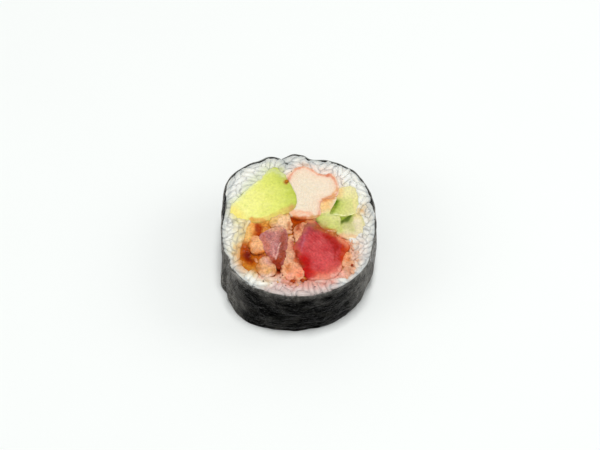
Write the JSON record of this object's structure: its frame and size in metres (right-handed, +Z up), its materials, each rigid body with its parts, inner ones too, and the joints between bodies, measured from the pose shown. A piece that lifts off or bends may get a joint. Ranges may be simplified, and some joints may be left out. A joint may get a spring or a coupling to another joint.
{
  "type": "sushi roll slice",
  "caption": "Thick slice of a round sushi roll on its cut face: seaweed around rice, with tuna, avocado, crab stick, cucumber and chopped fish in chilli sauce.",
  "frame": {"origin": "middle of the resting cut face's bounding box, on the surface the slice stands on", "axes": "+Z up through the slice from the lower cut to the upper cut; +Y towards the seam of the seaweed; +X to the cucumber side"},
  "size_m": [0.0504, 0.053, 0.0239],
  "materials": {
    "nori": "dry, slightly glossy",
    "rice": "moist",
    "tuna_large": "moist",
    "tuna_small": "moist",
    "avocado": "soft",
    "crab_stick": "moist",
    "cucumber": "moist",
    "fish_bit": "moist",
    "sauce": "wet"
  },
  "bodies": {
    "root": {"nori": "nori", "rice": "rice", "tuna_large": "tuna_large", "tuna_small": "tuna_small", "avocado": "avocado", "crab_stick": "crab_stick", "cucumber_1": "cucumber", "cucumber_2": "cucumber", "cucumber_3": "cucumber", "cucumber_4": "cucumber", "fish_bit_1": "fish_bit", "fish_bit_2": "fish_bit", "fish_bit_3": "fish_bit", "fish_bit_4": "fish_bit", "fish_bit_5": "fish_bit", "fish_bit_6": "fish_bit", "fish_bit_7": "fish_bit", "sauce_1": "sauce", "sauce_2": "sauce", "sauce_3": "sauce"}
  },
  "joints": []
}
